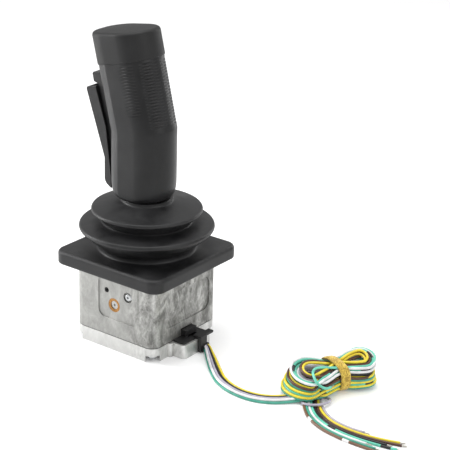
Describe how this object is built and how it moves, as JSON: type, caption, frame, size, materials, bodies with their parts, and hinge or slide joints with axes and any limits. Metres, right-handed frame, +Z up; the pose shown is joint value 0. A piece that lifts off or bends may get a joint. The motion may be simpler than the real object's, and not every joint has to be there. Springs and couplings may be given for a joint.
{
  "type": "industrial joystick",
  "caption": "Panel-mounted two-axis joystick with a square cast housing, bellows boot, leaning ribbed grip with a deadman trigger, and flying leads.",
  "frame": {"origin": "centre of the base plate's underside", "axes": "+Z up through the gimbal's centre, -X towards the grip's trigger side, +X towards the cable bay, Y along the pitch axis"},
  "size_m": [0.3014, 0.1058, 0.2492],
  "materials": {
    "cast_housing": "die cast, vibratory finished",
    "cast_base": "fine die cast",
    "steel": "turned",
    "zinc_screw": "zinc plated",
    "spring_steel": "drawn wire",
    "bronze": "sintered",
    "rubber": "moulded, matt",
    "grip_plastic": "fine moulded grain",
    "gland_plastic": "moulded",
    "white_plastic": "moulded",
    "board": "solder-resist coated laminate",
    "lead_insulation": "extruded, eight colours",
    "strap_cloth": "woven hook-and-loop tape"
  },
  "bodies": {
    "base": {"housing": "cast_housing", "base_plate": "cast_base", "base_gasket": "rubber", "base_screws": "zinc_screw", "pitch_bush_front": "bronze", "pitch_bush_rear": "bronze", "spring_anchor": "steel", "anchor_screw": "zinc_screw", "blanking_screw": "gland_plastic", "sensor_board": "board", "hall_sensors": "gland_plastic", "board_screws": "zinc_screw", "board_header": "white_plastic", "bay_cover": "gland_plastic", "cable_gland": "gland_plastic", "boot": "rubber", "boot_retainer": "steel", "retainer_screws": "zinc_screw", "pitch_spring": "spring_steel", "lead_bundle": "lead_insulation", "lead_hank": "lead_insulation", "lead_tails": "lead_insulation", "lead_strap": "strap_cloth"},
    "gimbal": {"gimbal_ring": "steel", "pitch_pins": "steel", "roll_bushes": "bronze", "spring_pegs": "steel", "roll_spring": "spring_steel"},
    "lever": {"pivot_hub": "cast_housing", "hub_peg": "steel", "roll_pin": "steel", "lever_shaft": "steel", "shaft_dowel": "steel", "magnet_holder": "gland_plastic", "magnet": "steel", "boot_collar": "gland_plastic", "grip_dowel": "steel", "grip_body": "grip_plastic", "grip_cap": "grip_plastic", "trigger_frame": "grip_plastic", "frame_screws": "zinc_screw", "trigger_pin": "steel", "trigger_switch": "gland_plastic", "trigger_spring": "spring_steel"},
    "trigger": {"trigger_lever": "grip_plastic"},
    "plunger": {"trigger_plunger": "white_plastic"}
  },
  "joints": [
    {"name": "pitch", "type": "hinge", "parent": "base", "child": "gimbal", "pos_m": [0, 0, 0.038], "axis": [0, 1, 0], "range_deg": [-20, 20], "stiffness_Nm_per_rad": 4, "deforming": ["pitch_spring", "boot"]},
    {"name": "roll", "type": "hinge", "parent": "gimbal", "child": "lever", "pos_m": [0, 0, 0.038], "axis": [1, 0, 0], "range_deg": [-20, 20], "stiffness_Nm_per_rad": 4, "deforming": ["roll_spring"]},
    {"name": "trigger_hinge", "type": "hinge", "parent": "lever", "child": "trigger", "pos_m": [-0.03, 0, 0.125], "axis": [0, 1, 0], "range_deg": [0, 4.5], "stiffness_Nm_per_rad": 2, "springref_deg": -5.73},
    {"name": "plunger_slide", "type": "slide", "parent": "lever", "child": "plunger", "axis": [0.9707, 0, 0.2402], "range_m": [0, 0.0032], "deforming": ["trigger_spring"]}
  ],
  "couplings": [
    {"joint": "plunger_slide", "follows": "trigger_hinge", "m_per_rad": 0.0395}
  ]
}
